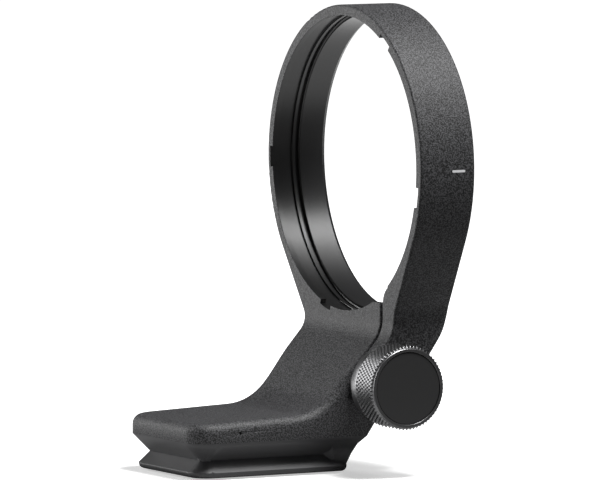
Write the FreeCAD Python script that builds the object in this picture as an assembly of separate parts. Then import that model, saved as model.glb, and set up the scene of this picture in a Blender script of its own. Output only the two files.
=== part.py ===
import FreeCAD, Part

import math
import os

# Lens tripod collar, in millimetres. The origin is on the foot's underside, on the tripod
# thread's axis. +X points to the clamp knob, +Y along the lens towards the camera, +Z up.

# Ring
BORE_R = 40.0
RING_WALL = 2.8
RING_WIDTH = 16.6
RING_FRONT_Y = 32.0
RING_CENTRE_Z = 81.6
EDGE_R = 0.7

# Turned bore, as distances behind the front face and depths below the bore's surface
LIP_WIDTH = 1.7
RECESS_DEPTH = 1.3
RIDGE_START = 6.6
RIDGE_DEPTH = 0.7
RELIEF_START = 7.4
LAND_START = 8.6
REAR_BEVEL = 1.0
REAR_BEVEL_DEPTH = 0.6

# Notches through the lip, by their angle from +X towards +Z
NOTCH_ANGLES = (56.3, 181.0, 255.7, 350.0)
NOTCH_SPAN = 8.0

# Arm between the ring and the foot
ARM_HALF = 20.7
ARM_LEAVES_RING = 216.0
ARM_SIDE_BEND_R = 10.0
ARM_FRONT_SLOPE = 48.5
ARM_REAR_SLOPE = 55.4
FRONT_BEND_DROP = 1.4
FRONT_BEND_R = 9.0
REAR_BEND_R = 15.0
REAR_BEND_BELOW_RING = 0.47
ARM_TO_FOOT_R = 16.0
EDGE_BLEND_DROP = 4.8
EDGE_EVEN_HEIGHT = 1.5

# Clamp ear and the slit beside it
SLIT_WIDTH = 1.2
SLIT_FLAT_DROP = 36.5
SLIT_CORNER_R = 5.0
SLIT_CORNER_WIDTH = 2.5
EAR_THICKNESS = 6.1
EAR_LEAVES_RING = -27.0
EAR_SIDE_BEND_R = 12.0
EAR_END_R = 7.2
EAR_CORNER_SHARE = 0.45

# Foot and its dovetail rail
FOOT_FRONT_Y = -24.4
FOOT_TOP_Z = 14.6
FOOT_TOP_SLOPE = 2.3
FOOT_CORNER_R = 7.0
FOOT_EDGE_R = 2.8
FOOT_SKIRT_Z = 9.4
RAIL_LENGTH = 45.6
RAIL_HALF = 19.0
RAIL_CREST_Z = 1.6
RAIL_CORNER_R = 5.5
RAIL_EDGE_R = 1.4
WAIST_HALF = 16.0
WAIST_Z = 4.6
WAIST_CORNER_R = 2.6
GROOVE_STOP_LENGTH = 3.0
GROOVE_STOP_INSET = 1.0
GROOVE_STOP_TOP_SHARE = 0.64
GROOVE_CUTTER_R = 6.0
GROOVE_CUTTER_EXTRA = 0.4

# Small pin hole in the foot's side
SIDE_HOLE_R = 0.45
SIDE_HOLE_DEPTH = 1.5
SIDE_HOLE_Y = -10.7
SIDE_HOLE_Z = 12.0

# Tripod thread bush, 1/4 inch, and the anti-twist pin hole ahead of it
TRIPOD_THREAD_R = 3.175
TRIPOD_BUSH_WALL = 1.6
TRIPOD_BUSH_LENGTH = 9.5
TRIPOD_THREAD_LENGTH = 8.0
TRIPOD_FLANGE_EXTRA = 1.2
TRIPOD_FLANGE_THICKNESS = 1.2
TWIST_HOLE_R = 2.4
TWIST_HOLE_DEPTH = 5.0
TWIST_HOLE_Y = -13.3

# Index mark on the ring, at the height of its centre
MARK_LENGTH = 4.0
MARK_WIDTH = 0.65
MARK_DEPTH = 0.3
MARK_FROM_REAR = 5.1
MARK_CORNER_SHARE = 0.45

# Clamp screw, M6, along X
KNOB_DROP = 14.9
SCREW_R = 2.95
SCREW_TIP_CHAMFER = 0.5
THREAD_ENGAGEMENT = 11.0
RUNNING_CLEARANCE = 0.05
SQUARE_SIDE = 4.2
SQUARE_LENGTH = 6.3
INSERT_WALL = 1.0
INSERT_LENGTH = 12.0
INSERT_INSET = 0.3
DRILL_RELIEF = 3.0

# Flanged bush in the ear, and the retaining ring behind it
EAR_BUSH_WALL = 1.2
EAR_BUSH_FLANGE_EXTRA = 2.3
EAR_BUSH_FLANGE_THICKNESS = 0.8
CLIP_POCKET_R = 5.0
CLIP_POCKET_DEPTH = 2.7
CLIP_GROOVE_DEPTH = 0.5
CLIP_THICKNESS = 0.6
CLIP_R = 4.4
CLIP_OPENING = 70.0
CLIP_SIDE_GAP = 0.05
CLIP_FROM_EAR = 0.2

# Thrust washer and knob
WASHER_R = 6.5
WASHER_THICKNESS = 0.6
WASHER_HOLE_EXTRA = 0.1
FACE_GAP = 0.05
KNOB_R = 11.4
KNOB_DEPTH = 12.7
KNOB_FROM_EAR = 0.45
KNOB_BACK_BEVEL = 0.5
KNOB_RIM_BREAK = 0.15
KNURL_TEETH = 66
KNURL_DEPTH = 0.6
KNURL_BACK_MARGIN = 3.2
KNURL_FRONT_MARGIN = 0.5
KNURL_STEP = 0.1
WASHER_POCKET_EXTRA = 0.3
CAP_R = 9.7
CAP_THICKNESS = 1.0
CAP_INSET = 0.2
CAP_SIDE_GAP = 0.05
SCREW_POCKET_R = 4.2
SQUARE_SLACK = 0.05

# Screw and lock washer that hold the knob on the stud, under the cap
KNOB_SCREW_R = 1.5
KNOB_SCREW_LENGTH = 7.0
KNOB_SCREW_HEAD_R = 2.75
KNOB_SCREW_HEAD_HEIGHT = 1.8
KNOB_SCREW_HEX = 2.0
KNOB_SCREW_HEX_DEPTH = 1.0
LOCK_WASHER_R = 3.0
LOCK_WASHER_THICKNESS = 0.7
LOCK_WASHER_OPENING = 20.0

# Places worked out from the sizes above
RING_R = BORE_R + RING_WALL
RING_REAR_Y = RING_FRONT_Y + RING_WIDTH
SLIT_TOP_Z = RING_CENTRE_Z - SLIT_FLAT_DROP
EAR_INNER_X = ARM_HALF + SLIT_WIDTH
EAR_OUTER_X = EAR_INNER_X + EAR_THICKNESS
FRONT_BEND_Z = RING_CENTRE_Z - RING_R - FRONT_BEND_DROP
RING_Z_AT_ARM_SIDE = RING_CENTRE_Z - math.sqrt(RING_R ** 2 - ARM_HALF ** 2)
REAR_BEND_LENGTH = REAR_BEND_R * math.tan(math.radians(90 - ARM_REAR_SLOPE) / 2)
REAR_BEND_Z = RING_Z_AT_ARM_SIDE - REAR_BEND_BELOW_RING - REAR_BEND_LENGTH
KNOB_Z = RING_CENTRE_Z - RING_R - KNOB_DROP
FRONT_RISE = math.tan(math.radians(ARM_FRONT_SLOPE))
REAR_RISE = math.tan(math.radians(ARM_REAR_SLOPE))
FRONT_Y_AT_KNOB = RING_FRONT_Y - (FRONT_BEND_Z - KNOB_Z) / FRONT_RISE
REAR_Y_AT_KNOB = RING_REAR_Y - (REAR_BEND_Z - KNOB_Z) / REAR_RISE
KNOB_Y = (FRONT_Y_AT_KNOB + REAR_Y_AT_KNOB) / 2
SKIRT_REAR_Y = RING_REAR_Y - (REAR_BEND_Z - FOOT_SKIRT_Z) / REAR_RISE
RAIL_FRONT_Y = -RAIL_LENGTH / 2
RAIL_REAR_Y = RAIL_LENGTH / 2
WAIST_INSET = RAIL_HALF - WAIST_HALF
WAIST_FRONT_Y = RAIL_FRONT_Y + WAIST_INSET
FAR = 3 * RING_R + RING_CENTRE_Z
NEAR = 0.01

SCREW_TIP_X = ARM_HALF - INSERT_INSET - THREAD_ENGAGEMENT
WASHER_X = EAR_OUTER_X + FACE_GAP
KNOB_BACK_X = EAR_OUTER_X + KNOB_FROM_EAR
KNOB_FRONT_X = KNOB_BACK_X + KNOB_DEPTH
STUD_SHOULDER_X = WASHER_X + WASHER_THICKNESS + FACE_GAP
CLIP_X = EAR_INNER_X - CLIP_FROM_EAR
CAP_X = KNOB_FRONT_X - CAP_INSET - CAP_THICKNESS
KNOB_WEB_X = STUD_SHOULDER_X + SQUARE_LENGTH + FACE_GAP
HEAD_X = KNOB_WEB_X + LOCK_WASHER_THICKNESS


def vec(x, y, z):
    return FreeCAD.Vector(x, y, z)


X_AXIS = vec(1, 0, 0)
Y_AXIS = vec(0, 1, 0)
Z_AXIS = vec(0, 0, 1)
RING_CENTRE = vec(0, RING_FRONT_Y, RING_CENTRE_Z)


def rounded_wire(corners, to_space):
    """A closed wire through corners (u, v, radius), each rounded by its own radius."""
    ends = []
    for index, (u, v, radius) in enumerate(corners):
        following = corners[(index + 1) % len(corners)]
        corner = vec(u, v, 0)
        back = (vec(*corners[index - 1][:2], 0) - corner).normalize()
        ahead = (vec(*following[:2], 0) - corner).normalize()
        if radius == 0:
            ends.append((corner, None, corner))
            continue
        half = back.getAngle(ahead) / 2
        cut = radius / math.tan(half)
        inward = (back + ahead).normalize()
        middle = corner + inward * (radius / math.sin(half) - radius)
        ends.append((corner + back * cut, middle, corner + ahead * cut))
    edges = []
    for index, (start, middle, end) in enumerate(ends):
        if middle is not None:
            edges.append(Part.Arc(*[to_space(p.x, p.y) for p in (start, middle, end)]).toShape())
        after = ends[(index + 1) % len(ends)][0]
        if (after - end).Length > NEAR / 10:
            edges.append(Part.makeLine(to_space(end.x, end.y), to_space(after.x, after.y)))
    return Part.Wire(edges)


def prism_along_x(corners, x_low, x_high):
    """A solid whose outline (y, z, radius) runs from x_low to x_high."""
    face = Part.Face(rounded_wire(corners, lambda y, z: vec(x_low, y, z)))
    return face.extrude(X_AXIS * (x_high - x_low))


def prism_along_y(corners, y_low, y_high):
    """A solid whose outline (x, z, radius) runs from y_low to y_high."""
    face = Part.Face(rounded_wire(corners, lambda x, z: vec(x, y_low, z)))
    return face.extrude(Y_AXIS * (y_high - y_low))


def turned(profile, centre, axis):
    """A solid of revolution from points (radius, distance along the axis) on +X or +Z."""
    across = Z_AXIS if axis.x else X_AXIS
    points = [centre + across * radius + axis * along for radius, along in profile]
    return Part.Face(Part.makePolygon(points + points[:1])).revolve(centre, axis, 360)


def rod(radius, x_low, x_high):
    """A cylinder on the clamp screw's axis."""
    return Part.makeCylinder(radius, x_high - x_low, vec(x_low, KNOB_Y, KNOB_Z), X_AXIS)


def tube(outer_r, inner_r, x_low, x_high):
    """A tube on the clamp screw's axis."""
    return rod(outer_r, x_low, x_high).cut(rod(inner_r, x_low, x_high))


def box_between(low, high):
    """A box from its lowest corner to its highest."""
    return Part.makeBox(high.x - low.x, high.y - low.y, high.z - low.z, low)


def edges_where(shape, test):
    """The edges of a shape whose bounding box passes a test."""
    return [edge for edge in shape.Edges if test(edge.BoundBox)]


def meeting(point_a, slope_a, point_b, slope_b):
    """Where two lines of the YZ plane cross, each given by a point and its rise over Y."""
    y = (point_b[1] - point_a[1] + slope_a * point_a[0] - slope_b * point_b[0]) / (slope_a - slope_b)
    return y, point_a[1] + slope_a * (y - point_a[0])


def ring_point(angle_deg):
    """A point of the ring's outside, as (x, z)."""
    angle = math.radians(angle_deg)
    return RING_R * math.cos(angle), RING_CENTRE_Z + RING_R * math.sin(angle)


def tangent_reaches(angle_deg, x):
    """The height at which the ring's tangent at an angle reaches x."""
    start_x, start_z = ring_point(angle_deg)
    angle = math.radians(angle_deg)
    return start_z - (x - start_x) * math.cos(angle) / math.sin(angle)


def arm_side_profile():
    """The arm and the foot's upper part seen from the knob's side, as (y, z, radius)."""
    top_rise = math.tan(math.radians(FOOT_TOP_SLOPE))
    bend = (RING_FRONT_Y, FRONT_BEND_Z)
    front_top = (FOOT_FRONT_Y, FOOT_TOP_Z)
    foot_y, foot_z = meeting(bend, FRONT_RISE, front_top, top_rise)
    return [
        (RING_FRONT_Y, FAR, 0),
        (*bend, FRONT_BEND_R),
        (foot_y, foot_z, ARM_TO_FOOT_R),
        (*front_top, 0),
        (FOOT_FRONT_Y, FOOT_SKIRT_Z, 0),
        (SKIRT_REAR_Y, FOOT_SKIRT_Z, 0),
        (RING_REAR_Y, REAR_BEND_Z, REAR_BEND_R),
        (RING_REAR_Y, FAR, 0),
    ]


def arm_front_profile():
    """The arm seen from the front, as (x, z, radius), with its top inside the bore."""
    inside = BORE_R / 2
    return [
        (*ring_point(ARM_LEAVES_RING), 0),
        (-ARM_HALF, tangent_reaches(ARM_LEAVES_RING, -ARM_HALF), ARM_SIDE_BEND_R),
        (-ARM_HALF, 0, 0),
        (ARM_HALF, 0, 0),
        (ARM_HALF, SLIT_TOP_Z, 0),
        (0, SLIT_TOP_Z, 0),
        (-inside, RING_CENTRE_Z - inside, 0),
    ]


def starts_ahead_of_ring(box):
    """Whether an edge is on the arm's front or the foot's top, and doesn't cross the arm."""
    crosses = box.XLength > ARM_HALF and box.YMax > FOOT_FRONT_Y + NEAR
    return box.YMin < RING_FRONT_Y - FRONT_BEND_DROP and not crosses


def edge_radii(shape, edge, even_z):
    """An edge's number in its shape, with the fillet radius at its first and last point."""
    number = [other.isSame(edge) for other in shape.Edges].index(True) + 1
    heights = [vertex.Z for vertex in edge.Vertexes]
    if max(heights) < even_z - NEAR:
        return number, FOOT_EDGE_R, FOOT_EDGE_R
    return (number, *[EDGE_R if height > even_z - NEAR else FOOT_EDGE_R for height in heights])


def foot_edge_rounded(shape, blend_z):
    """Round the foot's top edge, with the radius running out up the arm's slope and even
    over the last of it, where the neck's own rounding takes over.
    """
    chain = edges_where(shape, lambda box: FOOT_SKIRT_Z + NEAR < box.ZMin < blend_z - NEAR)
    chain = [edge for edge in chain if starts_ahead_of_ring(edge.BoundBox)]
    document = FreeCAD.newDocument("fillet")
    base = document.addObject("Part::Feature", "base")
    base.Shape = shape
    fillet = document.addObject("Part::Fillet", "fillet")
    fillet.Base = base
    fillet.Edges = [edge_radii(shape, edge, blend_z - EDGE_EVEN_HEIGHT) for edge in chain]
    document.recompute()
    return fillet.Shape.copy()


def arm_and_foot_top():
    """The arm with the foot's upper part, before any edge is rounded."""
    whole = prism_along_y(arm_front_profile(), FOOT_FRONT_Y - 1, RING_REAR_Y + 1)
    return whole.common(prism_along_x(arm_side_profile(), -ARM_HALF * 2, ARM_HALF * 2))


def lower_arm(whole, blend_z):
    """The foot's upper part and the arm's slope, rounded at their corners and edges."""
    even = box_between(vec(-FAR, -FAR, blend_z - EDGE_EVEN_HEIGHT), vec(FAR, FAR, blend_z))
    above = box_between(vec(-FAR, -FAR, blend_z), vec(FAR, FAR, FAR))
    foot = whole.cut([above, even])
    corners = edges_where(foot, lambda box: box.YMax < FOOT_FRONT_Y + NEAR and box.XLength < NEAR)
    lower = foot.makeFillet(FOOT_CORNER_R, corners).fuse(whole.common(even))
    lower = foot_edge_rounded(lower, blend_z)
    rear = edges_where(lower, lambda box: box.XLength < NEAR and box.ZLength > EDGE_R)
    rear = [edge for edge in rear if edge.BoundBox.YMin > SKIRT_REAR_Y - NEAR]
    return lower.makeFillet(EDGE_R, rear)


def ring_and_neck(whole, blend_z):
    """The ring with the top of the arm and the ear. One smooth outline runs from the ring's
    front edge round the ear's end to its rear edge, so one fillet rounds it all."""
    neck = whole.common(box_between(vec(-FAR, -FAR, blend_z), vec(FAR, FAR, FAR)))
    disc = Part.makeCylinder(RING_R, RING_WIDTH, RING_CENTRE, Y_AXIS)
    ring = neck.fuse([disc, clamp_ear()]).cut(slit()).removeSplitter()
    rim = edges_where(ring, lambda box: box.YLength < NEAR and box.ZMax > RING_CENTRE_Z)
    outline = [edge for edge in rim if edge.BoundBox.YMin < RING_FRONT_Y + NEAR]
    ring = ring.makeFillet(EDGE_R, outline)
    return ring.makeFillet(EDGE_R, edges_where(ring, on_slit_side))


def on_slit_side(box):
    """Whether an edge is one of the arm's two upright edges beside the slit."""
    return box.XLength < NEAR and abs(box.XMin - ARM_HALF) < NEAR and box.ZLength > EDGE_R


def foot_outline(half, front_y, rear_y, front_r, rear_r, z):
    """A level outline of the foot, with its own corner radii."""
    corners = [
        (-half, front_y, front_r),
        (half, front_y, front_r),
        (half, rear_y, rear_r),
        (-half, rear_y, rear_r),
    ]
    return rounded_wire(corners, lambda x, y: vec(x, y, z))


def dovetail(lower):
    """The flare under the foot's upper part, the waist and the rail that a clamp holds."""
    waist_rear_y = RAIL_REAR_Y + (WAIST_Z - RAIL_CREST_Z) * (SKIRT_REAR_Y - RAIL_REAR_Y) / FOOT_SKIRT_Z
    skirt = [face for face in lower.Faces if face.BoundBox.ZMax < FOOT_SKIRT_Z + NEAR][0].OuterWire
    waist = foot_outline(WAIST_HALF, WAIST_FRONT_Y, waist_rear_y, WAIST_CORNER_R, EDGE_R, WAIST_Z)
    crest = foot_outline(RAIL_HALF, RAIL_FRONT_Y, RAIL_REAR_Y, RAIL_CORNER_R, EDGE_R, RAIL_CREST_Z)
    foot = foot_outline(RAIL_HALF, RAIL_FRONT_Y, RAIL_REAR_Y, RAIL_CORNER_R, EDGE_R, 0)
    rail = Part.Face(foot).extrude(Z_AXIS * RAIL_CREST_Z)
    rail = rail.makeFillet(RAIL_EDGE_R, edges_where(rail, lambda box: box.ZMax < NEAR))
    flare = Part.makeLoft([waist, skirt], True, True)
    flank = Part.makeLoft([crest, waist], True, True)
    return rail.fuse([flank, flare] + groove_stop(waist_rear_y))


def groove_stop(waist_rear_y):
    """The solid rear end of the rail, where the clamp groove runs out."""
    top_z = WAIST_Z + GROOVE_STOP_TOP_SHARE * (FOOT_SKIRT_Z - WAIST_Z)
    top_rear_y = waist_rear_y + GROOVE_STOP_TOP_SHARE * (SKIRT_REAR_Y - waist_rear_y)
    stop_y = RAIL_REAR_Y - GROOVE_STOP_LENGTH
    middle_x = WAIST_HALF - GROOVE_CUTTER_EXTRA + GROOVE_CUTTER_R
    front_y = stop_y - math.sqrt(GROOVE_CUTTER_R ** 2 - (middle_x - RAIL_HALF) ** 2)
    levels = ((RAIL_REAR_Y, RAIL_CREST_Z), (waist_rear_y, WAIST_Z), (top_rear_y, top_z))
    half = RAIL_HALF - GROOVE_STOP_INSET
    outlines = [foot_outline(half, front_y, rear_y, 0, 0, z) for rear_y, z in levels]
    cutters = []
    for side in (-1, 1):
        centre = vec(side * middle_x, front_y, 0)
        cutters.append(Part.makeCylinder(GROOVE_CUTTER_R, FOOT_SKIRT_Z, centre))
    return [Part.makeLoft(outlines[low:low + 2], True, True).cut(cutters) for low in (0, 1)]


def turned_about_lens(profile):
    """A solid of revolution about the lens axis, from points (radius, behind the front)."""
    return turned(profile, RING_CENTRE, Y_AXIS)


def bore():
    """The space inside the ring: lip, recess, ridge, relief groove, land and rear bevel."""
    recess_r = BORE_R + RECESS_DEPTH
    ridge_r = BORE_R + RIDGE_DEPTH
    bevel_r = BORE_R + REAR_BEVEL_DEPTH
    space = turned_about_lens([
        (0, -1),
        (BORE_R, -1),
        (BORE_R, LIP_WIDTH),
        (recess_r, LIP_WIDTH),
        (recess_r, RIDGE_START),
        (ridge_r, RIDGE_START),
        (ridge_r, RELIEF_START),
        (recess_r, RELIEF_START),
        (recess_r, LAND_START),
        (BORE_R, LAND_START),
        (BORE_R, RING_WIDTH - REAR_BEVEL),
        (bevel_r, RING_WIDTH),
        (bevel_r, RING_WIDTH + 1),
        (0, RING_WIDTH + 1),
    ])
    for angle in NOTCH_ANGLES:
        sector = Part.makeCylinder(
            recess_r, LIP_WIDTH + 1, RING_CENTRE - Y_AXIS, Y_AXIS, NOTCH_SPAN)
        sector_angle = math.degrees(math.atan2(sector.CenterOfMass.z - RING_CENTRE_Z,
                                               sector.CenterOfMass.x))
        sector.rotate(RING_CENTRE, Y_AXIS, sector_angle - angle)
        space = space.fuse(sector)
    return space


def clamp_ear():
    """The strap that leaves the ring and ends in the ear under the knob."""
    strap = prism_along_y([
        (*ring_point(EAR_LEAVES_RING), 0),
        (EAR_OUTER_X, tangent_reaches(EAR_LEAVES_RING, EAR_OUTER_X), EAR_SIDE_BEND_R),
        (EAR_OUTER_X, 0, 0),
        (EAR_INNER_X, 0, 0),
        (EAR_INNER_X, RING_CENTRE_Z - BORE_R / 2, 0),
    ], FOOT_FRONT_Y, RING_REAR_Y + 1)
    along = math.radians((ARM_FRONT_SLOPE + ARM_REAR_SLOPE) / 2)
    end = (KNOB_Y - EAR_END_R * math.cos(along), KNOB_Z - EAR_END_R * math.sin(along))
    end_rise = -1 / math.tan(along)
    front = meeting((RING_FRONT_Y, FRONT_BEND_Z), FRONT_RISE, end, end_rise)
    rear = meeting((RING_REAR_Y, REAR_BEND_Z), REAR_RISE, end, end_rise)
    corner_r = EAR_CORNER_SHARE * math.dist(front, rear)
    ear = strap.common(prism_along_x([
        (RING_FRONT_Y, FAR, 0),
        (RING_FRONT_Y, FRONT_BEND_Z, FRONT_BEND_R),
        (*front, corner_r),
        (*rear, corner_r),
        (RING_REAR_Y, REAR_BEND_Z, REAR_BEND_R),
        (RING_REAR_Y, FAR, 0),
    ], EAR_INNER_X, RING_R))
    return ear


def slit():
    """The gap that lets the ring close, with the rounded corner on the ear's side."""
    width = SLIT_CORNER_WIDTH
    height = math.sqrt(SLIT_CORNER_R ** 2 - (SLIT_CORNER_R - width) ** 2)
    above = SLIT_TOP_Z + 2 * height
    middle_angle = math.radians(90) - math.acos(1 - width / SLIT_CORNER_R) / 2
    corner = vec(EAR_INNER_X + SLIT_CORNER_R, 0, SLIT_TOP_Z)
    low = RING_FRONT_Y - FAR
    points = [
        vec(EAR_INNER_X + width, low, SLIT_TOP_Z + height),
        vec(corner.x - SLIT_CORNER_R * math.sin(middle_angle), low,
            SLIT_TOP_Z + SLIT_CORNER_R * math.cos(middle_angle)),
        vec(EAR_INNER_X, low, SLIT_TOP_Z),
    ]
    rest = [
        points[2],
        vec(EAR_INNER_X, low, FOOT_SKIRT_Z),
        vec(ARM_HALF, low, FOOT_SKIRT_Z),
        vec(ARM_HALF, low, SLIT_TOP_Z),
        vec(ARM_HALF - 2 * width, low, SLIT_TOP_Z),
        vec(ARM_HALF - 2 * width, low, above),
        vec(EAR_INNER_X + width, low, above),
        points[0],
    ]
    edges = [Part.Arc(*points).toShape()] + Part.makePolygon(rest).Edges
    return Part.Face(Part.Wire(edges)).extrude(Y_AXIS * 2 * FAR)


def clamp_screw_hole():
    """The stepped hole on the screw's axis, from the arm's drilled end out through the ear."""
    bore_r = SCREW_R + RUNNING_CLEARANCE
    insert_r = bore_r + INSERT_WALL
    ear_bush_r = bore_r + EAR_BUSH_WALL
    flange_r = ear_bush_r + EAR_BUSH_FLANGE_EXTRA
    insert_x = ARM_HALF - INSERT_INSET - INSERT_LENGTH
    pocket_x = EAR_INNER_X + CLIP_POCKET_DEPTH
    flange_x = EAR_OUTER_X - EAR_BUSH_FLANGE_THICKNESS
    return turned([
        (0, insert_x - DRILL_RELIEF),
        (bore_r, insert_x - DRILL_RELIEF),
        (bore_r, insert_x),
        (insert_r, insert_x),
        (insert_r, ARM_HALF + SLIT_WIDTH / 2),
        (CLIP_POCKET_R, ARM_HALF + SLIT_WIDTH / 2),
        (CLIP_POCKET_R, pocket_x),
        (ear_bush_r, pocket_x),
        (ear_bush_r, flange_x),
        (flange_r, flange_x),
        (flange_r, WASHER_X),
        (0, WASHER_X),
    ], vec(0, KNOB_Y, KNOB_Z), X_AXIS)


def body_holes():
    """The holes of the clamp screw, tripod bush, pin holes and index mark."""
    side_hole = Part.makeCylinder(
        SIDE_HOLE_R, SIDE_HOLE_DEPTH, vec(ARM_HALF - SIDE_HOLE_DEPTH, SIDE_HOLE_Y, SIDE_HOLE_Z), X_AXIS)
    twist_hole = Part.makeCylinder(TWIST_HOLE_R, TWIST_HOLE_DEPTH, vec(0, TWIST_HOLE_Y, 0))
    return [
        clamp_screw_hole(),
        side_hole,
        twist_hole,
        tripod_bush_outside(),
        index_mark_block(),
    ]


def tripod_bush_outside():
    """The tripod bush without its thread, a sleeve with a flange flush with the foot."""
    sleeve_r = TRIPOD_THREAD_R + TRIPOD_BUSH_WALL
    sleeve = Part.makeCylinder(sleeve_r, TRIPOD_BUSH_LENGTH)
    return sleeve.fuse(Part.makeCylinder(sleeve_r + TRIPOD_FLANGE_EXTRA, TRIPOD_FLANGE_THICKNESS))


def index_mark_block():
    """The index line's slot, standing proud of the ring's surface."""
    y = RING_REAR_Y - MARK_FROM_REAR
    low = vec(RING_R - MARK_DEPTH, y - MARK_LENGTH / 2, RING_CENTRE_Z - MARK_WIDTH / 2)
    high = vec(RING_R + MARK_DEPTH, y + MARK_LENGTH / 2, RING_CENTRE_Z + MARK_WIDTH / 2)
    block = box_between(low, high)
    upright = edges_where(block, lambda box: box.XLength > MARK_DEPTH)
    return block.makeFillet(MARK_CORNER_SHARE * MARK_WIDTH, upright)


def collar_body():
    """The one casting: split ring, arm, clamp ear and dovetail foot."""
    whole = arm_and_foot_top()
    blend_z = FRONT_BEND_Z - EDGE_BLEND_DROP
    lower = lower_arm(whole, blend_z)
    solid = ring_and_neck(whole, blend_z).fuse([lower, dovetail(lower)])
    return solid.removeSplitter().cut([bore()] + body_holes())


def index_mark():
    """The white paint that fills the index line's slot."""
    disc = Part.makeCylinder(RING_R, RING_WIDTH, RING_CENTRE, Y_AXIS)
    return index_mark_block().common(disc)


def tripod_bush():
    """The steel bush in the foot, with a blind tripod thread."""
    thread = Part.makeCylinder(TRIPOD_THREAD_R, TRIPOD_THREAD_LENGTH)
    return tripod_bush_outside().cut(thread)


def thread_insert():
    """The steel insert in the arm that takes the clamp screw."""
    bore_r = SCREW_R + RUNNING_CLEARANCE
    end_x = ARM_HALF - INSERT_INSET
    return tube(bore_r + INSERT_WALL, bore_r, end_x - INSERT_LENGTH, end_x)


def ear_bush():
    """The flanged bush in the ear that takes the knob's thrust and guides the screw."""
    bore_r = SCREW_R + RUNNING_CLEARANCE
    outer_r = bore_r + EAR_BUSH_WALL
    sleeve = rod(outer_r, EAR_INNER_X + CLIP_POCKET_DEPTH, EAR_OUTER_X)
    flange = rod(outer_r + EAR_BUSH_FLANGE_EXTRA, EAR_OUTER_X - EAR_BUSH_FLANGE_THICKNESS, EAR_OUTER_X)
    return sleeve.fuse(flange).removeSplitter().cut(rod(bore_r, EAR_INNER_X, EAR_OUTER_X))


def square_rod(side, x_low, x_high):
    """A square bar on the clamp screw's axis."""
    low = vec(x_low, KNOB_Y - side / 2, KNOB_Z - side / 2)
    high = vec(x_high, KNOB_Y + side / 2, KNOB_Z + side / 2)
    return box_between(low, high)


def clamp_screw():
    """The stud: threaded end, groove for the retaining ring, and the knob's square."""
    stud = rod(SCREW_R, SCREW_TIP_X, STUD_SHOULDER_X)
    tip = edges_where(stud, lambda box: box.XMax < SCREW_TIP_X + NEAR)
    stud = stud.makeChamfer(SCREW_TIP_CHAMFER, tip)
    groove_r = SCREW_R - CLIP_GROOVE_DEPTH
    groove = tube(SCREW_R + 1, groove_r, CLIP_X - CLIP_SIDE_GAP, CLIP_X + CLIP_THICKNESS + CLIP_SIDE_GAP)
    square = square_rod(SQUARE_SIDE, STUD_SHOULDER_X, STUD_SHOULDER_X + SQUARE_LENGTH)
    hole = rod(KNOB_SCREW_R, HEAD_X - KNOB_SCREW_LENGTH, HEAD_X)
    return stud.cut(groove).fuse(square).cut(hole)


def open_ring(outer_r, inner_r, x_low, x_high, opening_deg):
    """A flat ring on the screw's axis, open at the top by an angle."""
    ring = tube(outer_r, inner_r, x_low, x_high)
    half = math.radians(opening_deg / 2)
    reach = 2 * outer_r
    gap = prism_along_x([
        (KNOB_Y, KNOB_Z, 0),
        (KNOB_Y + reach * math.sin(half), KNOB_Z + reach * math.cos(half), 0),
        (KNOB_Y - reach * math.sin(half), KNOB_Z + reach * math.cos(half), 0),
    ], x_low, x_high)
    return ring.cut(gap)


def retaining_ring():
    """The spring ring in the stud's groove, which keeps the knob on the ear."""
    inner_r = SCREW_R - CLIP_GROOVE_DEPTH + CLIP_SIDE_GAP
    return open_ring(CLIP_R, inner_r, CLIP_X, CLIP_X + CLIP_THICKNESS, CLIP_OPENING)


def thrust_washer():
    """The hard washer between the ear and the knob, free on the stud."""
    return tube(WASHER_R, SCREW_R + WASHER_HOLE_EXTRA, WASHER_X, WASHER_X + WASHER_THICKNESS)


def knurled_blank():
    """The knob's outside: a toothed band between a plain rear collar and a front rim."""
    root_r = KNOB_R - KNURL_DEPTH
    core_r = root_r - KNURL_STEP
    band_x = KNOB_BACK_X + KNURL_BACK_MARGIN
    step = 2 * math.pi / KNURL_TEETH
    star = []
    for tooth in range(KNURL_TEETH):
        for radius, angle in ((KNOB_R, tooth * step), (root_r, (tooth + 0.5) * step)):
            star.append(vec(band_x, KNOB_Y + radius * math.cos(angle), KNOB_Z + radius * math.sin(angle)))
    length = KNOB_DEPTH - KNURL_BACK_MARGIN - KNURL_FRONT_MARGIN
    band = Part.Face(Part.makePolygon(star + star[:1])).extrude(X_AXIS * length)
    core = turned([
        (0, 0),
        (core_r - KNOB_BACK_BEVEL, 0),
        (core_r, KNOB_BACK_BEVEL),
        (core_r, KNOB_DEPTH - KNOB_RIM_BREAK),
        (core_r - KNOB_RIM_BREAK, KNOB_DEPTH),
        (0, KNOB_DEPTH),
    ], vec(KNOB_BACK_X, KNOB_Y, KNOB_Z), X_AXIS)
    return core.fuse(band)


def clamp_knob():
    """The knurled knob, with its square socket and the recesses for washer, screw and cap."""
    pocket_floor_x = STUD_SHOULDER_X
    knob = knurled_blank()
    return knob.cut([
        rod(WASHER_R + WASHER_POCKET_EXTRA, KNOB_BACK_X, pocket_floor_x),
        square_rod(SQUARE_SIDE + 2 * SQUARE_SLACK, pocket_floor_x, KNOB_WEB_X),
        rod(SCREW_POCKET_R, KNOB_WEB_X, KNOB_FRONT_X),
        rod(CAP_R + CAP_SIDE_GAP, CAP_X, KNOB_FRONT_X),
    ])


def knob_cap():
    """The thin disc set into the knob's face, over the screw."""
    cap = rod(CAP_R, CAP_X, CAP_X + CAP_THICKNESS)
    rim = edges_where(cap, lambda box: box.XMin > CAP_X + CAP_THICKNESS - NEAR)
    return cap.makeChamfer(CAP_INSET, rim)


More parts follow.
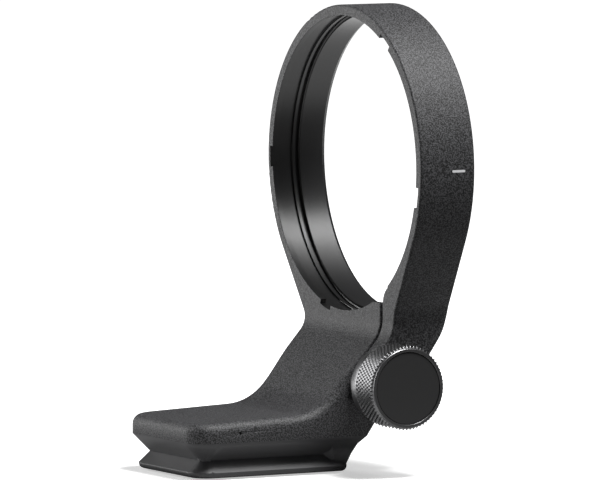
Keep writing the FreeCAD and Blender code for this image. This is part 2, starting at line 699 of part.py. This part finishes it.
def knob_screw():
    """The small socket-head screw that clamps the knob onto the stud's square."""
    shank = rod(KNOB_SCREW_R, HEAD_X - KNOB_SCREW_LENGTH, HEAD_X)
    head = rod(KNOB_SCREW_HEAD_R, HEAD_X, HEAD_X + KNOB_SCREW_HEAD_HEIGHT)
    hexagon = []
    for corner in range(7):
        angle = math.radians(60 * corner)
        radius = KNOB_SCREW_HEX / math.sqrt(3)
        hexagon.append(vec(HEAD_X + KNOB_SCREW_HEAD_HEIGHT,
                           KNOB_Y + radius * math.cos(angle), KNOB_Z + radius * math.sin(angle)))
    socket = Part.Face(Part.makePolygon(hexagon)).extrude(X_AXIS * -KNOB_SCREW_HEX_DEPTH)
    return shank.fuse(head).removeSplitter().cut(socket)


def lock_washer():
    """The split spring washer under the small screw's head."""
    inner_r = KNOB_SCREW_R + WASHER_HOLE_EXTRA
    return open_ring(LOCK_WASHER_R, inner_r, KNOB_WEB_X, HEAD_X, LOCK_WASHER_OPENING)


PIECES = [
    collar_body,
    index_mark,
    tripod_bush,
    thread_insert,
    ear_bush,
    clamp_screw,
    retaining_ring,
    thrust_washer,
    clamp_knob,
    knob_cap,
    knob_screw,
    lock_washer,
]

os.makedirs("parts", exist_ok=True)
for piece in PIECES:
    shape = piece()
    solids = shape.Solids
    print(piece.__name__, "valid", shape.isValid(), "solids", len(solids),
          "faces", len(shape.Faces), "volume", round(shape.Volume, 2))
    shape = solids[0] if len(solids) == 1 else Part.makeCompound(solids)
    shape.exportStep("parts/" + piece.__name__ + ".step")
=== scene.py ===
import math

import bpy
from mathutils import Matrix, Vector


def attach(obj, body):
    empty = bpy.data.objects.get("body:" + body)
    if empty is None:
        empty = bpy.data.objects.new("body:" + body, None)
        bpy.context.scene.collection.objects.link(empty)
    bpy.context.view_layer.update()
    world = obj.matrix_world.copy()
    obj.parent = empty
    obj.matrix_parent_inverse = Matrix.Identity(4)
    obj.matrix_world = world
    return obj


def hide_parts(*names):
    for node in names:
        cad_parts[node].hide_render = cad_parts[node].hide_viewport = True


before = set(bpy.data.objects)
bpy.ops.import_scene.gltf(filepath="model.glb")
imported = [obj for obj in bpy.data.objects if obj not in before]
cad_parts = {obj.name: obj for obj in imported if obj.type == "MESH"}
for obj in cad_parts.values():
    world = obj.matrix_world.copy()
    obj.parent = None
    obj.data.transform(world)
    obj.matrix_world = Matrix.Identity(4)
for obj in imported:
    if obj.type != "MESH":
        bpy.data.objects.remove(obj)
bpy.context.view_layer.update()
MM = 0.001


# The part's own places, all in the row's frame, in metres
# The ring's centre is on its front face. The knob's axis runs along X.
RING_CENTRE = Vector((0.0, 32.0, 81.6)) * MM
KNOB_AXIS = Vector((0.0, 29.12, 23.9)) * MM


def node_material(name):
    """A new Principled material with its node tree and shader."""
    material = bpy.data.materials.new(name)
    material.use_nodes = True
    tree = material.node_tree
    return material, tree, tree.nodes["Principled BSDF"]


def math_node(tree, operation, first, second=0.0):
    """A math node whose inputs are values or other nodes' outputs."""
    node = tree.nodes.new("ShaderNodeMath")
    node.operation = operation
    for socket, value in zip(node.inputs, (first, second)):
        if isinstance(value, (int, float)):
            socket.default_value = value
        else:
            tree.links.new(value, socket)
    return node.outputs[0]


def smooth_step(tree, value, low, high):
    """0 below low and 1 above high, with a smooth rise between."""
    node = tree.nodes.new("ShaderNodeMapRange")
    node.interpolation_type = "SMOOTHSTEP"
    node.inputs["From Min"].default_value = low
    node.inputs["From Max"].default_value = high
    tree.links.new(value, node.inputs["Value"])
    return node.outputs["Result"]


def object_place(tree):
    """The object coordinates, whole and as x, y and z."""
    place = tree.nodes.new("ShaderNodeTexCoord").outputs["Object"]
    split = tree.nodes.new("ShaderNodeSeparateXYZ")
    tree.links.new(place, split.inputs[0])
    return place, split.outputs


def noise(tree, place, scale, detail=2.0, roughness=0.5):
    """A noise texture over the given coordinates."""
    node = tree.nodes.new("ShaderNodeTexNoise")
    node.inputs["Scale"].default_value = scale
    node.inputs["Detail"].default_value = detail
    node.inputs["Roughness"].default_value = roughness
    tree.links.new(place, node.inputs["Vector"])
    return node.outputs["Fac"]


def mix(tree, factor, first, second):
    """A value that goes from first to second as factor goes from 0 to 1."""
    node = tree.nodes.new("ShaderNodeMix")
    node.data_type = "FLOAT"
    tree.links.new(factor, node.inputs[0])
    for socket, value in ((node.inputs[2], first), (node.inputs[3], second)):
        if isinstance(value, (int, float)):
            socket.default_value = value
        else:
            tree.links.new(value, socket)
    return node.outputs[0]


def length_of(tree, vector):
    """The length of a vector."""
    node = tree.nodes.new("ShaderNodeVectorMath")
    node.operation = "LENGTH"
    tree.links.new(vector, node.inputs[0])
    return node.outputs["Value"]


def grey_colour(tree, value):
    """A grey, faintly blue, from one value."""
    node = tree.nodes.new("ShaderNodeCombineColor")
    tree.links.new(value, node.inputs[0])
    tree.links.new(value, node.inputs[1])
    tree.links.new(math_node(tree, "MULTIPLY", value, 1.05), node.inputs[2])
    return node.outputs[0]


# Collar body
# One aluminium casting: split ring, sloping arm, clamp ear and dovetail foot. The outside has
# a baked granular coat; the bore is turned after coating, and the rail is masked and satin.
# The rail's grey is partly its satin tone and partly painted bounce light from the floor.
TURNED_R, LIP_DEPTH, RAIL_TOP = 41.5 * MM, 0.15 * MM, 9.5 * MM
FINE_SCALE, COARSE_SCALE, FINE_SHARE = 2700.0, 800.0, 0.75
SPECK_LOW, SPECK_HIGH = 0.43, 0.60
# The rail's grey is its satin tone lifted with painted bounce light from the floor.
COAT_GREYS, RAIL_GREY_WITH_BOUNCE, TURNED_GREY = (0.008, 0.092), 0.050, 0.012
COAT_ROUGH, RAIL_ROUGH, TURNED_ROUGH = 0.55, 0.46, (0.27, 0.37)
LINE_SCALE, LINE_STRETCH, LINE_HEIGHT = 400.0, 30.0, 0.018
BUMP_STRENGTH, BUMP_DISTANCE = 0.55, 0.32 * MM
COAT_SHINE, TURNED_SHINE = 0.5, 1.0


def collar_finish():
    """The coat, the turned bore and the satin rail, told apart by their places; the rail's grey
    holds painted bounce light.
    """
    material, tree, shader = node_material("collar_finish")
    place, (x, y, z) = object_place(tree)
    from_axis = tree.nodes.new("ShaderNodeCombineXYZ")
    tree.links.new(x, from_axis.inputs[0])
    tree.links.new(math_node(tree, "SUBTRACT", z, RING_CENTRE.z), from_axis.inputs[2])
    radius = length_of(tree, from_axis.outputs[0])
    behind = math_node(tree, "SUBTRACT", y, RING_CENTRE.y)

    inside_r = math_node(tree, "LESS_THAN", radius, TURNED_R)
    past_lip = math_node(tree, "GREATER_THAN", behind, LIP_DEPTH)
    turned = math_node(tree, "MULTIPLY", inside_r, past_lip)
    rail = math_node(tree, "LESS_THAN", z, RAIL_TOP)
    smooth = math_node(tree, "MAXIMUM", turned, rail)

    grain = noise(tree, place, FINE_SCALE, 2.0, 0.55)
    coarse = noise(tree, place, COARSE_SCALE)
    grains = math_node(tree, "ADD", math_node(tree, "MULTIPLY", grain, FINE_SHARE),
                       math_node(tree, "MULTIPLY", coarse, 1 - FINE_SHARE))
    speck = smooth_step(tree, grain, SPECK_LOW, SPECK_HIGH)

    ring_place = tree.nodes.new("ShaderNodeCombineXYZ")
    tree.links.new(math_node(tree, "MULTIPLY", behind, LINE_STRETCH), ring_place.inputs[0])
    tree.links.new(math_node(tree, "MULTIPLY", radius, LINE_STRETCH), ring_place.inputs[1])
    lines = noise(tree, ring_place.outputs[0], LINE_SCALE, 3.0, 0.7)

    coat_grey = mix(tree, speck, *COAT_GREYS)
    # The rail's share of this grey holds painted bounce light from the floor.
    plain_grey_with_rail_bounce = mix(tree, turned, RAIL_GREY_WITH_BOUNCE, TURNED_GREY)
    grey = mix(tree, smooth, coat_grey, plain_grey_with_rail_bounce)
    tree.links.new(grey_colour(tree, grey), shader.inputs["Base Color"])

    turned_rough = mix(tree, lines, *TURNED_ROUGH)
    plain_rough = mix(tree, turned, RAIL_ROUGH, turned_rough)
    tree.links.new(mix(tree, smooth, COAT_ROUGH, plain_rough), shader.inputs["Roughness"])

    turned_lines = math_node(tree, "MULTIPLY", lines, turned)
    height = mix(tree, smooth, grains, math_node(tree, "MULTIPLY", turned_lines, LINE_HEIGHT))
    bump = tree.nodes.new("ShaderNodeBump")
    bump.inputs["Strength"].default_value = BUMP_STRENGTH
    bump.inputs["Distance"].default_value = BUMP_DISTANCE
    tree.links.new(height, bump.inputs["Height"])
    tree.links.new(bump.outputs["Normal"], shader.inputs["Normal"])
    shine = mix(tree, turned, COAT_SHINE, TURNED_SHINE)
    tree.links.new(shine, shader.inputs["Specular IOR Level"])
    return material


MERGE_WITHIN, ROUND_WITHIN = 0.002 * MM, 0.01 * MM
RADIAL_FROM = 0.99


def smooth_faces(made, angle):
    """Merge, face outwards and shade smooth up to an angle."""
    bpy.ops.object.select_all(action="DESELECT")
    made.select_set(True)
    bpy.context.view_layer.objects.active = made
    bpy.ops.object.mode_set(mode="EDIT")
    bpy.ops.mesh.select_all(action="SELECT")
    bpy.ops.mesh.remove_doubles(threshold=MERGE_WITHIN)
    bpy.ops.mesh.normals_make_consistent(inside=False)
    bpy.ops.object.mode_set(mode="OBJECT")
    bpy.ops.object.shade_smooth_by_angle(angle=math.radians(angle))


def turned_normals(made):
    """Give the faces turned about the lens axis their exact radial normals."""
    mesh = made.data
    normals = [Vector(corner.vector) for corner in mesh.corner_normals]

    def outward(point):
        return Vector((point.x, 0, point.z - RING_CENTRE.z))

    for face in mesh.polygons:
        radii = [outward(mesh.vertices[index].co).length for index in face.vertices]
        facing = face.normal.dot(outward(face.center).normalized())
        if max(radii) - min(radii) > ROUND_WITHIN or abs(facing) < RADIAL_FROM:
            continue
        for corner in face.loop_indices:
            radial = outward(mesh.vertices[mesh.loops[corner].vertex_index].co).normalized()
            normals[corner] = radial if facing > 0 else -radial
    mesh.normals_split_custom_set(normals)


def smooth_copy(node, name, material, body):
    """A merged, smoothly shaded copy of a CAD node that stands for it."""
    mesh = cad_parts[node].data.copy()
    mesh.materials.clear()
    mesh.materials.append(material)
    made = bpy.data.objects.new(name, mesh)
    bpy.context.scene.collection.objects.link(made)
    smooth_faces(made, 20.0)
    weighted = made.modifiers.new("weighted", "WEIGHTED_NORMAL")
    weighted.keep_sharp = True
    bpy.ops.object.modifier_apply(modifier=weighted.name)
    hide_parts(node)
    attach(made, body)
    return made


casting = smooth_copy("collar_body", "collar_casting", collar_finish(), "collar")
turned_normals(casting)


# Index mark
# A line milled into the ring at the lens axis's height and filled with white paint.
def plain_finish(name, grey, roughness, metallic=0.0):
    """A finish of one grey, for a part with no grain that shows."""
    material, tree, shader = node_material(name)
    shader.inputs["Base Color"].default_value = (grey, grey, grey * 1.02, 1)
    shader.inputs["Roughness"].default_value = roughness
    shader.inputs["Metallic"].default_value = metallic
    return material


def dress(node, material):
    """Give a node of the CAD frame its finish."""
    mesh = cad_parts[node].data
    mesh.materials.clear()
    mesh.materials.append(material)


dress("index_mark", plain_finish("white_paint", 0.85, 0.6))


# Steel parts
# The tripod bush, thread insert and ear bush are turned steel, left bright and pressed in.
bush_steel = plain_finish("bush_steel", 0.50, 0.32, 1.0)
for steel_node in ("tripod_bush", "thread_insert", "ear_bush", "lock_washer"):
    dress(steel_node, bush_steel)
dress("thrust_washer", plain_finish("washer_steel", 0.60, 0.2, 1.0))
dress("retaining_ring", plain_finish("clip_black", 0.04, 0.35, 0.6))
stud_steel = plain_finish("stud_steel", 0.42, 0.3, 1.0)
for stud_node in ("clamp_screw", "knob_screw"):
    dress(stud_node, stud_steel)


# Clamp knob
# Turned aluminium, black anodised: a band of 30-degree crossed knurling that stands proud of
# a plain rear collar and a thin rim. Its square socket sits on the stud.
KNOB_BACK = 28.45 * MM
KNOB_DEPTH = 12.7 * MM
KNOB_R = 11.4 * MM
COLLAR_R = 10.7 * MM
KNURL_TEETH = 66
KNURL_DEPTH = 0.6 * MM
KNURL_LOW = 3.2 * MM
KNURL_ROWS = 19
ROWS_PER_DIAMOND = COLUMNS_PER_TOOTH = 4
DIAMOND_LENGTH = 2 * math.pi * KNOB_R / KNURL_TEETH * math.sqrt(3)
ROW_STEP = DIAMOND_LENGTH / ROWS_PER_DIAMOND
POCKET_R, POCKET_DEPTH = 6.8 * MM, 0.25 * MM
CAP_SEAT_R, CAP_SEAT = 9.75 * MM, 11.5 * MM
SCREW_POCKET_R, WEB = 4.2 * MM, 6.6 * MM
SOCKET_HALF = 2.15 * MM
BACK_BEVEL, RIM_START = 0.5 * MM, 12.26 * MM
RIM_BREAK, SEAT_BREAK = 0.15 * MM, 0.06 * MM


def mesh_object(name, points, faces):
    """A mesh object from points and faces, smooth but for its sharp edges."""
    mesh = bpy.data.meshes.new(name)
    mesh.from_pydata(points, [], faces)
    made = bpy.data.objects.new(name, mesh)
    bpy.context.scene.collection.objects.link(made)
    smooth_faces(made, 30.0)
    return made


def square_r(half, angle):
    """How far a square's side is from its centre, in a direction."""
    return half / max(abs(math.cos(angle)), abs(math.sin(angle)))


def round_bar(rows, columns, start_x):
    """Points and faces of a closed bar on the knob's axis. A row is its distance from the
    start and its radius, which may be a function of the angle; the last row joins the first.
    """
    points = []
    for along, radius in rows:
        for column in range(columns):
            angle = 2 * math.pi * column / columns
            r = radius(angle) if callable(radius) else radius
            points.append((start_x + along,
                           KNOB_AXIS.y + r * math.cos(angle), KNOB_AXIS.z + r * math.sin(angle)))
    faces = []
    for row in range(len(rows)):
        low, high = row * columns, (row + 1) % len(rows) * columns
        for column in range(columns):
            after = (column + 1) % columns
            faces.append((low + column, low + after, high + after, high + column))
    return points, faces


def knurl_r(row):
    """The knurl's radius over the angle in one row. Its first and last rows are run out."""
    along = row / ROWS_PER_DIAMOND
    cut = 0.0 if row in (0, KNURL_ROWS) else 1.0

    def radius(angle):
        turn = angle / (2 * math.pi) * KNURL_TEETH
        ridges = [abs((turn + sign * along) % 1.0 - 0.5) * 2 for sign in (1, -1)]
        return KNOB_R - KNURL_DEPTH * (1 - cut * min(ridges))

    return radius


def knob_rows():
    """The knob's section, from the square socket round the outside and back to it."""
    def socket(angle):
        return square_r(SOCKET_HALF, angle)

    band = [(KNURL_LOW + row * ROW_STEP, knurl_r(row)) for row in range(KNURL_ROWS + 1)]
    rear = [(POCKET_DEPTH, socket), (POCKET_DEPTH, POCKET_R), (0.0, POCKET_R),
            (0.0, COLLAR_R - BACK_BEVEL), (0.15 * MM, COLLAR_R - 0.2 * MM),
            (BACK_BEVEL, COLLAR_R), (KNURL_LOW - 0.05 * MM, COLLAR_R)]
    front = [(RIM_START, COLLAR_R), (12.6 * MM, COLLAR_R - 0.05 * MM),
             (KNOB_DEPTH, COLLAR_R - RIM_BREAK), (KNOB_DEPTH, CAP_SEAT_R + SEAT_BREAK),
             (12.62 * MM, CAP_SEAT_R), (CAP_SEAT, CAP_SEAT_R), (CAP_SEAT, SCREW_POCKET_R),
             (WEB, SCREW_POCKET_R), (WEB, socket)]
    return rear + band + front


knob_columns = KNURL_TEETH * COLUMNS_PER_TOOTH
knob = mesh_object("knurled_knob", *round_bar(knob_rows(), knob_columns, KNOB_BACK))
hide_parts("clamp_knob")
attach(knob, "knob")
knob.data.materials.append(plain_finish("knob_anodised", 0.24, 0.34, 1.0))
dress("knob_cap", plain_finish("cap_black", 0.028, 0.5))


# Floor and backdrop
# Not part of the object. Only the camera sees the floor and the world as white, so they
# don't light the part from below and from all round. The floor keeps its shadow close by.
WHITE = (1, 1, 1, 1)
SHADOW_REACH = (80.0 * MM, 200.0 * MM)
DARK_TO_RIGHT = (30.0 * MM, 100.0 * MM)
BOUNCE_TO_LEFT = (60.0 * MM, 200.0 * MM)
FLOOR_GREYS, FLOOR_SEEN, FLOOR_ROUGH = (0.5, 0.06), 0.9, 0.9
NEAR_GLOW, FAR_GLOW, LEFT_GLOW = 0.5, 1.0, 0.9
FLOOR_SIZE, FLOOR_DROP = 6.0, 0.5 * MM
SOFT_LIGHT, SEEN_LIGHT = 0.06, 1.0


def floor_finish():
    """White where the camera sees it, and for the part a floor darker towards the right."""
    material, tree, shader = node_material("floor_white")
    place, (x, _, _) = object_place(tree)
    far = smooth_step(tree, length_of(tree, place), *SHADOW_REACH)
    seen = tree.nodes.new("ShaderNodeLightPath").outputs["Is Camera Ray"]
    rightward = smooth_step(tree, x, *DARK_TO_RIGHT)
    unseen_grey = mix(tree, rightward, *FLOOR_GREYS)
    tree.links.new(mix(tree, seen, unseen_grey, FLOOR_SEEN), shader.inputs["Base Color"])
    shader.inputs["Roughness"].default_value = FLOOR_ROUGH
    shader.inputs["Emission Color"].default_value = WHITE
    leftward = smooth_step(tree, math_node(tree, "MULTIPLY", x, -1.0), *BOUNCE_TO_LEFT)
    bounce = math_node(tree, "MULTIPLY", leftward, LEFT_GLOW)
    glow = mix(tree, seen, bounce, mix(tree, far, NEAR_GLOW, FAR_GLOW))
    tree.links.new(glow, shader.inputs["Emission Strength"])
    return material


bpy.ops.object.select_all(action="DESELECT")
bpy.ops.mesh.primitive_plane_add(size=FLOOR_SIZE, location=(0, 0, -FLOOR_DROP))
floor = bpy.context.active_object
floor.name = "floor"
floor.data.materials.append(floor_finish())

world = bpy.data.worlds.new("studio")
world.use_nodes = True
bpy.context.scene.world = world
nodes, links = world.node_tree.nodes, world.node_tree.links
nodes.clear()
chooser = nodes.new("ShaderNodeMixShader")
paths = nodes.new("ShaderNodeLightPath")
links.new(paths.outputs["Is Camera Ray"], chooser.inputs[0])
for socket, strength in zip(chooser.inputs[1:], (SOFT_LIGHT, SEEN_LIGHT)):
    backdrop = nodes.new("ShaderNodeBackground")
    backdrop.inputs["Color"].default_value = WHITE
    backdrop.inputs["Strength"].default_value = strength
    links.new(backdrop.outputs[0], socket)
links.new(chooser.outputs[0], nodes.new("ShaderNodeOutputWorld").inputs[0])


# Lamps
# Three plain softboxes: one overhead for the band's upper side, one low at the left
# for the front faces and the knurl, and a weak one behind at the right for the bore.
def softbox(name, place, aim, size, power):
    """A rectangular lamp at a place, turned to its aim."""
    lamp = bpy.data.lights.new(name, "AREA")
    lamp.shape = "RECTANGLE"
    lamp.size, lamp.size_y = size
    lamp.energy = power
    made = bpy.data.objects.new(name, lamp)
    bpy.context.scene.collection.objects.link(made)
    made.location = place
    made.rotation_mode = "QUATERNION"
    made.rotation_quaternion = (Vector(aim) - Vector(place)).to_track_quat("-Z", "Y")


softbox("top_box", (0.32, 0.16, 0.97), (0, 0.03, 0.08), (0.30, 0.30), 12.5)
softbox("left_box", (-0.68, -0.55, 0.24), (0, 0.02, 0.06), (0.4, 0.6), 4.8)
softbox("side_box", (0.43, 0.47, 0.74), (0, 0.04, 0.08), (0.28, 0.28), 1.7)


# Camera
# A long lens, level to within a few degrees, from the knob's side and slightly ahead.
CAMERA_AZIMUTH = math.radians(61.24)
CAMERA_ELEVATION = math.radians(4.6)
CAMERA_DISTANCE = 2298.949 * MM
SHIFT_RIGHT, SHIFT_UP = 11.686 * MM, 20.905 * MM
LENS_LENGTH, SENSOR_WIDTH = 510.0, 36.0
CLIP_NEAR, CLIP_FAR = 0.1, 20.0
right = Vector((math.cos(CAMERA_AZIMUTH), math.sin(CAMERA_AZIMUTH), 0))
back = Vector((math.sin(CAMERA_AZIMUTH) * math.cos(CAMERA_ELEVATION),
               -math.cos(CAMERA_AZIMUTH) * math.cos(CAMERA_ELEVATION),
               math.sin(CAMERA_ELEVATION)))
up = back.cross(right)
camera_data = bpy.data.cameras.new("camera")
camera_data.lens = LENS_LENGTH
camera_data.sensor_width = SENSOR_WIDTH
camera_data.clip_start, camera_data.clip_end = CLIP_NEAR, CLIP_FAR
camera = bpy.data.objects.new("camera", camera_data)
bpy.context.scene.collection.objects.link(camera)
turn = Matrix((right, up, back)).transposed().to_4x4()
eye = RING_CENTRE + back * CAMERA_DISTANCE - right * SHIFT_RIGHT - up * SHIFT_UP
camera.matrix_world = Matrix.Translation(eye) @ turn
bpy.context.scene.camera = camera
bpy.context.scene.view_settings.view_transform = "Standard"
